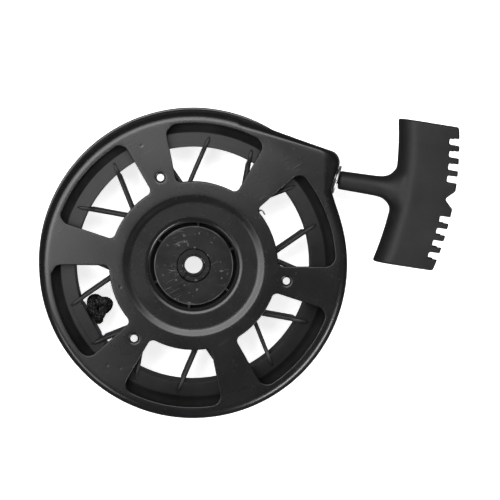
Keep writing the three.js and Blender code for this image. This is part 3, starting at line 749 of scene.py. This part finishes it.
def hub_disc():
    """The thick disc in the cup's floor, with the six stakes that hold it."""
    form = lathe(rounded([
        (DISC_BORE, CUP_FLOOR + 0.3), (DISC_R, CUP_FLOOR + 0.3), (DISC_R, DISC_TOP), (DISC_BORE, DISC_TOP),
    ], [0.2, 0.3, 0.5, 0.35], 4), 144)
    inner, outer = DISC_R - 0.5, CUP_R + 0.9
    stations = ((inner, 0.75, DISC_TOP - 1.0), ((inner + outer) / 2, 0.7, DISC_TOP - 0.5),
                (outer, 0.45, DISC_TOP + 0.25))

    def section(station):
        r, half, z = station
        return [(r, -half, z - 1.2), (r, half, z - 1.2), (r, half * 0.6, z), (r, -half * 0.6, z)]

    for i in range(6):
        form.add(lofted(section, stations).moved(spin(STAKE_FIRST + 60 * i)))
    return form


def slit_pin():
    """A rolled pin: a ring's section carried almost all the way round."""
    section = rounded([(PIN_BORE, PIN_BOTTOM), (PIN_R, PIN_BOTTOM), (PIN_R, PIN_TOP), (PIN_BORE, PIN_TOP)],
                      [0.2, 0.5, 0.35, 0.2], 4)
    half = math.degrees(PIN_SLIT_HALF / PIN_R)
    turns = [PIN_SLIT_DIRECTION + half + (360 - 2 * half) * i / 90 for i in range(91)]
    return lofted(lambda deg: [(*polar(r, deg), z) for r, z in section], turns)


def on_rope_line(out):
    """A point on the rope line, at a distance out of the nose's end wall."""
    x, y = meet(NOSE_END, NOSE_REACH, ROPE_TURN + 90, ROPE_SIDE)
    return Vector((*polar(out, ROPE_TURN, x, y), ROPE_Z))


def through_wall(form):
    """Sets a form about Z square through the leaning end wall, where the rope leaves."""
    place = Matrix.Translation(on_rope_line(0)) @ spin(NOSE_END)
    return form.moved(place @ Matrix.Rotation(math.pi / 2 - math.atan(NOSE_DRAFT), 4, "Y"))


def post():
    """The riveted post: a lip under the clutch, a narrower head, and a slit mark in its top."""
    form = lathe(rounded([
        (POST_BORE, POST_BOTTOM), (POST_LIP, POST_BOTTOM), (POST_LIP, POST_BOTTOM + POST_LIP_DEPTH),
        (POST_R, POST_BOTTOM + POST_LIP_DEPTH), (POST_R, POST_SHOULDER), (POST_HEAD_R, POST_SHOULDER + 0.3),
        (POST_HEAD_R, POST_TOP), (POST_NECK, POST_TOP), (POST_NECK, PIN_BOTTOM - 0.3),
        (POST_BORE, PIN_BOTTOM - 2)],
        [0.2, 0.25, 0.25, 0.1, 0.1, 0.1, 0.45, 0.3, 0.2, 0.5], 4), 144)
    away = Vector(polar(1, PIN_SLIT_DIRECTION))
    for i, (x, y, z) in enumerate(form.points):
        if z > POST_TOP - 0.5 and math.hypot(x, y) > 6.9 and Vector((x, y)).angle(away) < 0.06:
            form.points[i] = (x, y, z - 0.8)
    return form


EYELET = lathe(rounded([
    (5.0, -4.4), (6.0, -4.4), (6.0, 0.3), (8.1, 0.3), (8.1, EYELET_PROUD), (5.2, EYELET_PROUD),
    (3.65, 0.6), (3.65, -2.1)], [0.3, 0.4, 0.2, 0.7, 1.2, 1.0, 0.8, 1.0], 6), 96)

piece("hub_plate", hub_disc(), "housing", ["hub_disc"], DARK_STEEL)
piece("axle_post", post(), "housing", ["center_post"], DARK_STEEL)
piece("slit_pin", slit_pin(), "housing", ["spring_pin"], DARK_STEEL)
piece("eyelet", through_wall(EYELET), "housing", ["rope_eyelet"], ZINC)


# -------- pulley

def rib(direction, side):
    """One rib: drafted sides, rounded edges, and a spear-shaped end across the ring's band."""
    stations = ((4.0, 29.4, 1.0), (12.0, 29.4, 1.0), (22.0, 29.4, 1.0), (24.5, 30.0, 1.0),
                (26.5, 30.9, 1.0), (29.0, 30.9, 0.95), (31.0, 30.5, 0.75), (32.2, 29.9, 0.4),
                (32.6, 29.5, 0.15))

    def section(station):
        along, top, wide = station
        half = 1.1 * wide
        low = 11.0 if along < 26 else 28.5
        side_up = [(half * 1.05, low), (half, top - 0.5), (half * 0.72, top - 0.12), (half * 0.3, top)]
        return [(along, -x, z) for x, z in side_up] + [(along, x, z) for x, z in side_up[::-1]]

    place = spin(direction) @ Matrix.Translation((RIB_APEX, 0, 0)) @ spin(side * RIB_TILT)
    return lofted(section, stations).moved(place)


def pulley():
    """Ring with a groove, spring cup with its hub, ribs, the rope's anchor and the dogs' pegs."""
    low, high = ROPE_Z - GROOVE_HALF, ROPE_Z + GROOVE_HALF
    ring = [(RING_IN, RING_BOTTOM), (RING_RIDGE, RING_BOTTOM + 0.8), (RING_RIDGE + 2.4, low - 3.2),
            (RING_OUT, low - 2.4), (RING_OUT, low - 0.5), (GROOVE_R, low), (GROOVE_R, high),
            (RING_OUT, high + 0.5), (RING_OUT, high + 2.4), (RING_RIDGE + 2.4, high + 3.2),
            (RING_RIDGE, RING_TOP - 0.8), (RING_IN, RING_TOP)]
    form = lathe(rounded(ring, [0.4, 0.4, 1.6, 0.7, 0.7, 0.6, 0.6, 0.7, 0.7, 1.8, 0.35, 0.45], 5), 216)
    cup = [(HUB_BORE, RING_BOTTOM), (CUP_OUT, RING_BOTTOM), (CUP_OUT, RING_TOP), (CUP_IN, RING_TOP),
           (CUP_IN, WEB_TOP), (HUB_R, WEB_TOP), (HUB_R, HUB_TOP), (HUB_BORE, HUB_TOP)]
    form.add(lathe(rounded(cup, [0.3, 0.8, 0.5, 0.4, 0.8, 0.8, 0.4, 0.3], 4), 144))
    for i in range(8):
        direction = RIB_FIRST + 45 * i
        form.add(rib(direction, 1)).add(rib(direction, -1))
    anchor = rounded([(64.0, -10.2), (66.6, -11.0), (66.6, 11.0), (64.0, 10.2)], 0.5, 3)
    block = plate(anchor, [], RING_BOTTOM + 0.5, RING_TOP - 0.3, 0.2)
    form.add(block.moved(spin(ANCHOR_DIRECTION)))
    pad = rounded([(64.1, -10.2), (69.9, -11.6), (70.5, 0.0), (69.9, 11.6), (64.1, 10.2)], 0.5, 3)
    pad = plate(pad, [], RING_TOP - 1.0, RING_TOP + 0.8, 0.35)
    form.add(pad.moved(spin(ANCHOR_DIRECTION)))
    for i in range(2):
        x, y = polar(DOG_PIVOT_R, DOG_FIRST + 180 * i)
        form.add(peg(((2.4, 5.5), (2.8, 5.65), (3.0, 6.1), (3.0, RING_BOTTOM + 0.5)), 40, x, y))
    return form


def ribbon(middle, thickness, low, high):
    """A strip on edge along a flat line."""
    def section(i):
        x, y = middle[i]
        ahead = Vector(middle[min(i + 1, len(middle) - 1)]) - Vector(middle[max(i - 1, 0)])
        ahead = ahead.normalized() * thickness / 2
        left, right = (x - ahead.y, y + ahead.x), (x + ahead.y, y - ahead.x)
        return [(*left, low), (*right, low), (*right, high), (*left, high)]

    return lofted(section, range(len(middle)))


def mainspring():
    """A flat spiral in the cup, with its outer end hooked over the cup's wall."""
    inner, outer, per_turn, turns = 15.0, CUP_IN - 1.2, 60, 9
    count = per_turn * turns
    middle = [polar(inner + (outer - inner) * i / count, HOOK_DIRECTION - 3 + 360 * i / per_turn)
              for i in range(count + 1)]
    hook = [middle[-1]] + [polar(r, HOOK_DIRECTION + turn) for r, turn in
                           ((43.0, -0.6), (47.0, 0.2), (48.6, -1.2), (48.4, -4.0))]
    bend = [tuple(p)[:2] for p in smooth_path([(*p, 0) for p in hook], 0.35)]
    return ribbon(middle + bend[1:], 0.6, SPRING_BOTTOM, SPRING_TOP)


def wound_rope():
    """The turns of rope in the groove: two layers, two side by side."""
    form = Form()
    for r in COIL_RADII:
        for z in COIL_LEVELS:
            loops = [form.loop([(*polar(r + ROPE_R * math.cos(a), deg), z + ROPE_R * math.sin(a))
                                for a in around(12)]) for deg in np.arange(0, 360, 2)]
            form.skin(loops + loops[:1], ends=False)
    return form


piece("rope_pulley", pulley(), "pulley", ["pulley"], PULLEY_PLASTIC)
piece("recoil_spring", mainspring(), "pulley", ["mainspring"], SPRING_STEEL)
KEEPER = washer(KEEPER_IN, KEEPER_OUT, KEEPER_BOTTOM, KEEPER_TOP, 0.3, 120)
piece("keeper_disc", KEEPER, "pulley", ["spring_keeper"], ZINC)
piece("wound_rope", wound_rope(), "pulley", ["rope_coil"], ROPE)


# -------- rope

def overhand_knot(reach, rise, path_in, path_out):
    """The middle line of a tight overhand knot about the origin, with its two tails."""
    curl = []
    for i in range(13):
        t = math.radians(38 + 284 * i / 12)
        curl.append(Vector(((math.sin(t) + 2 * math.sin(2 * t)) * reach,
                            (math.cos(t) - 2 * math.cos(2 * t)) * reach, -math.sin(3 * t) * rise)))
    return [Vector(p) for p in path_in] + curl + [Vector(p) for p in path_out]


def stopper():
    """The tight knot that holds the rope's end, pulled up against the inside of the ring."""
    place = Matrix.Translation((*KNOT_CENTRE, ROPE_Z)) @ spin(KNOT_TURN)
    inward = place.inverted()
    hole = [inward @ Vector((*polar(r, KNOT_DIRECTION), ROPE_Z)) for r in (GROOVE_R - 1, 64.5)]
    path_in = hole + [(0.6, -3.4, -4.0), (3.4, -1.8, -3.4)]
    path_out = [(-3.0, -2.6, 3.8), (-0.4, -5.6, 2.6), (2.2, -8.2, 0.2)]
    line = smooth_path(overhand_knot(1.9, 2.6, path_in, path_out), 0.2)
    return tube(line, ROPE_R, 48, braid=0.8).moved(place)


def lead():
    """The rope's run from the groove to the eyelet."""
    r = COIL_OUT + 0.4 + ROPE_R
    near = Vector((*polar(r, 59), ROPE_Z))
    line = [Vector((*polar(r, deg), ROPE_Z)) for deg in (112, 102, 92, 82, 72, 62)]
    line += [near.lerp(on_rope_line(-4), 0.45)] + [on_rope_line(out) for out in (-4, 0, 1.5)]
    return tube(smooth_path(line, 0.5), ROPE_R, 32, braid=0.5)


piece("stopper_knot", stopper(), "pulley", ["pulley_knot"], ROPE, 80, weighted=False)
piece("rope_run", lead(), "housing", ["rope_lead"], ROPE, 80, weighted=False)


# -------- clutch

def peg_in_retainer(turn):
    """A dog's cam peg in the retainer's own frame when the retainer has turned."""
    x, y = polar(DOG_PEG_AT, turn * DOG_SWEEP / RETAINER_SWEEP - 90)
    return turned_by([(DOG_PIVOT_R + x, y)], -turn)[0]


def cam_outline(half):
    """The outline of a band along the peg's path, with round ends."""
    path = [Vector(peg_in_retainer(RETAINER_SWEEP * i / 10)) for i in range(11)]

    def heading(i):
        d = path[min(i + 1, 10)] - path[max(i - 1, 0)]
        return math.degrees(math.atan2(d.y, d.x))

    def beside(i, turn):
        return polar(half, heading(i) + turn, *path[i])

    return (arc(*path[0], half, heading(0) + 90, heading(0) + 270, 12)
            + [beside(i, -90) for i in range(1, 10)]
            + arc(*path[10], half, heading(10) - 90, heading(10) + 90, 12)
            + [beside(i, 90) for i in range(9, 0, -1)])


def retainer():
    """The cam plate: a disc and two lobes in one outline, found by growing a ray from the axis."""
    lobes = [np.array(turned_by(cam_outline(4.6), DOG_FIRST + 180 * i)) for i in range(2)]
    outline = []
    for i in range(360):
        reach = 21.0
        for r in np.arange(34.0, 21.0, -0.1):
            if any(within(polar(r, i), lobe) for lobe in lobes):
                reach = r
                break
        outline.append(reach)
    smooth = np.convolve(outline[-2:] + outline + outline[:2], [0.1, 0.2, 0.4, 0.2, 0.1], "valid")
    slots = [turned_by(cam_outline(2.0), DOG_FIRST + 180 * i) for i in range(2)]
    return plate([polar(r, i) for i, r in enumerate(smooth)], slots + [circle(HUB_BORE, 72)],
                 RETAINER_BOTTOM, RETAINER_TOP, 0.25)


def dog(i):
    """A pawl: a plate about its pivot, with the peg that runs in the cam plate's slot."""
    outline = rounded(arc(0, 0, 5.8, -35, 205, 24) + [(-3.6, -9), (-1.6, -18), (3.2, -18.6), (4.6, -12)],
                      [0] * 25 + [2.0, 0.6, 0.6, 2.5], 4)
    form = plate(outline, [circle(3.25, 36)], DOG_BOTTOM, DOG_TOP, 0.35)
    cam_peg = ((1.2, 3.0), (1.5, 3.15), (DOG_PEG_R, 3.5), (DOG_PEG_R, DOG_BOTTOM + 0.6))
    return form.add(peg(cam_peg, 28, 0, -DOG_PEG_AT)).moved(dog_place(i))


def dog_place(i):
    x, y = polar(DOG_PIVOT_R, DOG_FIRST + 180 * i)
    return Matrix.Translation((x, y, 0)) @ spin(DOG_FIRST + 180 * i)


def dog_spring(i):
    route = [(-7.4, 4.5, 8.4), (-8, 0, 8.4), (-7.2, -4.5, 8.4), (-5.6, -8, 8.4), (-5.2, -11, 8.4)]
    return tube(smooth_path(route, 0.4), 0.5, 12).moved(dog_place(i))


def brake_spring():
    low, high, turns = 6.05, 7.45, 1.9
    path = [Vector((*polar(9.8, 360 * turns * i / 150), low + (high - low) * i / 150)) for i in range(151)]
    return tube(path, 0.52, 12)


piece("cam_plate", retainer(), "retainer", ["retainer"], ZINC)
piece("brake_coil", brake_spring(), "retainer", ["brake_spring"], SPRING_STEEL)
piece("thrust_washer", washer(HUB_BORE, 12.9, 8.4, 9.4), "housing", ["inner_washer"], ZINC)
piece("end_washer", washer(HUB_BORE, 11.9, 2.1, 3.3), "housing", ["outer_washer"], ZINC)
for number in (1, 2):
    piece(f"pawl_{number}", dog(number - 1), f"dog_{number}", [f"dog_{number}"], DARK_STEEL)
    piece(f"pawl_spring_{number}", dog_spring(number - 1), "pulley", [f"dog_spring_{number}"],
          SPRING_STEEL)


# -------- handle

HANDLE_PLACE = Matrix.Translation(on_rope_line(HANDLE_SEAT)) @ spin(ROPE_TURN)


def bow(y):
    """How far out the bar lies at a place along it: tilted, and bent back at both ends."""
    return HANDLE_SKEW * (y - HANDLE_MIDDLE) - HANDLE_BOW * (y - HANDLE_MIDDLE) ** 2


def bar_section(y):
    """The bar's cross-section: round towards the engine, then two nearly flat walls."""
    width = HANDLE_OUT - HANDLE_IN
    half = [(10.0 * (1 - math.sin(a)), 11.0 * math.cos(a)) for a in np.linspace(0, math.pi / 2, 15)]
    outer = rounded([(10.0, 11.0), (22.0, 10.6), (width, 10.0), (width, 0.0)], [0, 3, 0.8, 0],
                    closed=False)
    top = outer[:0:-1] + half
    points = top + [(x, -z) for x, z in top[-2:0:-1]]
    end = min(abs(y - HANDLE_MIDDLE + HANDLE_HALF), abs(HANDLE_MIDDLE + HANDLE_HALF - y))
    shrink = 1.0 - 0.05 * max(0.0, 1 - end / 1.2) ** 2
    middle = width / 2
    return [(HANDLE_IN + bow(y) + middle + (x - middle) * shrink, y, z * shrink) for x, z in points]


def stem_section(x):
    """The stem's cross-section: round, then widening along the bar where it flares into it."""
    flare = max(0.0, (x - 20.6) / 13.0)
    base = 5.2 + 0.7 * min(x / 24.6, 1.0)
    if x < 0.8:
        base -= 0.6 * (1 - x / 0.8) ** 2
    wide = base + 12.0 * flare ** 3.2
    thick = base + 3.2 * min(flare, 1.1) ** 1.8
    return [(x, wide * math.cos(a), thick * math.sin(a)) for a in around(48)]


def slab(x, y, z):
    """A block between the two values given for each axis."""
    corners = [(x[0], y[0]), (x[1], y[0]), (x[1], y[1]), (x[0], y[1])]
    return lofted(lambda level: [(*corner, level) for corner in corners], z)


def blended_join(points, mesh):
    """Relaxes the surface where the stem meets the bar, so the two run into one another."""
    at = np.array(points)
    ends = np.array([tuple(edge.vertices) for edge in mesh.edges])
    one, other = np.concatenate([ends, ends[:, ::-1]]).T
    count = np.bincount(one, minlength=len(at))
    inside = np.clip((HANDLE_IN + 20 - at[:, 0]) / 6, 0, 1) * np.clip((30 - np.abs(at[:, 1])) / 8, 0, 1)
    share = 0.5 * inside * np.clip(at[:, 0] / 10, 0, 1)
    for _ in range(36):
        mean = np.stack([np.bincount(one, at[other, k], len(at)) / count for k in range(3)], axis=1)
        at += (mean - at) * share[:, None]
    return [tuple(v) for v in at]


def handle():
    """The moulded grip: bar and stem joined, hollowed and notched, with its edges softened."""
    ends = (HANDLE_MIDDLE - HANDLE_HALF, HANDLE_MIDDLE + HANDLE_HALF)
    stations = (ends[0], ends[0] + 0.3, ends[0] + 0.7, ends[0] + 1.2,
                *np.linspace(ends[0] + 3, ends[1] - 3, 40),
                ends[1] - 1.2, ends[1] - 0.7, ends[1] - 0.3, ends[1])
    body = made_from(lofted(bar_section, stations), "grip_work")
    stem = lofted(stem_section, (0.0, 0.3, 0.8, *np.linspace(3, 20, 8), *np.linspace(21, 35.1, 28)))

    def hollow_section(y):
        floor = POCKET_FLOOR + bow(y)
        edge = HANDLE_OUT + 3.0
        return [(floor + 1, y, 7.4), (edge, y, 7.4), (edge, y, -7.4), (floor + 1, y, -7.4),
                (floor, y, -6.4), (floor, y, 6.4)]

    def bore_section(x):
        return [(x, GRIP_BORE * math.cos(a), GRIP_BORE * math.sin(a)) for a in around(24)]

    cuts = [lofted(hollow_section, np.linspace(ends[0] + 6, ends[1] - 6, 24)),
            lofted(bore_section, (-1.0, POCKET_FLOOR + 2.0))]
    for offset in NOTCHES + tuple(-n for n in NOTCHES):
        y = HANDLE_MIDDLE + offset
        edge = HANDLE_OUT + bow(y)
        cuts.append(slab((edge - 5.8, edge + 3), (y - 1.8, y + 1.8), (-13, 13)))
    vee = [(-5.3, 0.0), (0.6, -5.6), (3.0, 0.0), (0.6, 5.6)]
    vee = rounded([(HANDLE_OUT + x, HANDLE_MIDDLE + y) for x, y in vee], [1.6, 0, 0, 0])
    cuts.append(lofted(lambda z: [(*corner, z) for corner in vee], (-13, 13)))

    tools = [(made_from(stem, "stem_work"), "UNION")]
    tools += [(made_from(cut, f"cut_work_{i}"), "DIFFERENCE") for i, cut in enumerate(cuts)]
    for tool, operation in tools:
        modify(body, "BOOLEAN", operation=operation, solver="EXACT", object=tool)
    modify(body, "REMESH", mode="VOXEL", voxel_size=0.45, use_smooth_shade=True)
    modify(body, "SMOOTH", factor=0.5, iterations=4)
    bpy.context.view_layer.update()
    shown = body.evaluated_get(bpy.context.evaluated_depsgraph_get())
    form = Form()
    form.faces = [tuple(p.vertices) for p in shown.data.polygons]
    form.points = blended_join([tuple(v.co) for v in shown.data.vertices], shown.data)
    for tool, _ in tools:
        bpy.data.objects.remove(tool)
    bpy.data.objects.remove(body)
    return form.moved(HANDLE_PLACE)


def grip_knot():
    line = overhand_knot(1.45, 2.0, [(-38.0, 0, 0), (-20.0, 0, 0), (-8.0, 0, 0)], [(2.0, -5.2, -1.0)])
    form = tube(smooth_path(line, 0.42), ROPE_R, 32, braid=0.5)
    return form.moved(HANDLE_PLACE @ Matrix.Translation((POCKET_FLOOR + 7.2, 0, 0)))


def grip_washer():
    ring = washer(2.6, 5.4, 0.3, 1.5)
    place = Matrix.Translation((POCKET_FLOOR, 0, 0)) @ Matrix.Rotation(math.pi / 2, 4, "Y")
    return ring.moved(HANDLE_PLACE @ place)


piece("grip", handle(), "handle", ["handle"], HANDLE_PLASTIC, 60, weighted=False)
piece("grip_knot", grip_knot(), "handle", ["handle_rope"], ROPE, 80, weighted=False)
piece("grip_washer", grip_washer(), "handle", ["knot_washer"], ZINC)

# The rope that shows between the eyelet and the grip when the grip is pulled.
PULL_START, PULL_END = 1.0, HANDLE_SEAT + 8.0
PULLED = tube([on_rope_line(PULL_START + (PULL_END - PULL_START) * i / 400) for i in range(401)],
              ROPE_R, 20)
pulled = piece("pulled_rope", PULLED, None, [], ROPE, 80, weighted=False)
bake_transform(pulled)


# -------- floor, light and camera

def floor():
    """A pale floor that glows a little."""
    mesh = bpy.data.meshes.new("floor")
    half, level = 4.0, -0.0003
    mesh.from_pydata([(x * half, y * half, level) for x, y in ((-1, -1), (1, -1), (1, 1), (-1, 1))],
                     [], [(0, 1, 2, 3)])
    made = linked("floor", mesh)
    material, shader, *_ = node_material("floor", (0.9, 0.9, 0.9), 0.9)
    shader.inputs["Emission Color"].default_value = (1, 1, 1, 1)
    shader.inputs["Emission Strength"].default_value = 0.8
    mesh.materials.append(material)
    made.visible_diffuse = False
    made.visible_glossy = False


def area_light(name, at, target, size, power):
    light = bpy.data.lights.new(name, "AREA")
    light.shape = "RECTANGLE"
    light.size, light.size_y = size
    light.energy = power
    made = linked(name, light)
    made.location = at
    made.rotation_euler = (Vector(target) - Vector(at)).to_track_quat("-Z", "Y").to_euler()


floor()
area_light("overhead", (-0.25, 0.40, 1.25), (0, 0, 0), (1.1, 1.1), 1.0)
for turn in (58, 91, 124, 157, 190):
    area_light(f"bank_{turn}", (*polar(0.50, turn), 0.91), (0, 0, 0), (0.34, 0.56), 3.0)
area_light("low_right", (0.72, -0.72, 0.54), (0, 0, 0.03), (0.8, 0.24), 11.0)
area_light("low_left", (-0.72, -0.72, 0.54), (0, 0, 0.03), (0.6, 0.24), 3.2)
world = bpy.data.worlds.new("studio")
bpy.context.scene.world = world
world.use_nodes = True
background = world.node_tree.nodes["Background"].inputs
background["Color"].default_value = (1, 1, 1, 1)
background["Strength"].default_value = 0.12
bpy.context.scene.view_settings.view_transform = "Standard"

lens = bpy.data.cameras.new("camera")
lens.sensor_width = 36.0
lens.lens = 130.9
camera = linked("camera", lens)
AIM = Vector((30.95, 8.6, 36.0)) * MM
camera.location = Vector((-10.8, 69.0, 1033.0)) * MM
back = (camera.location - AIM).normalized()
right = Vector((0, 1, 0)).cross(back).normalized()
up = back.cross(right)
camera.rotation_euler = Matrix((right, up, back)).transposed().to_euler()
bpy.context.scene.camera = camera
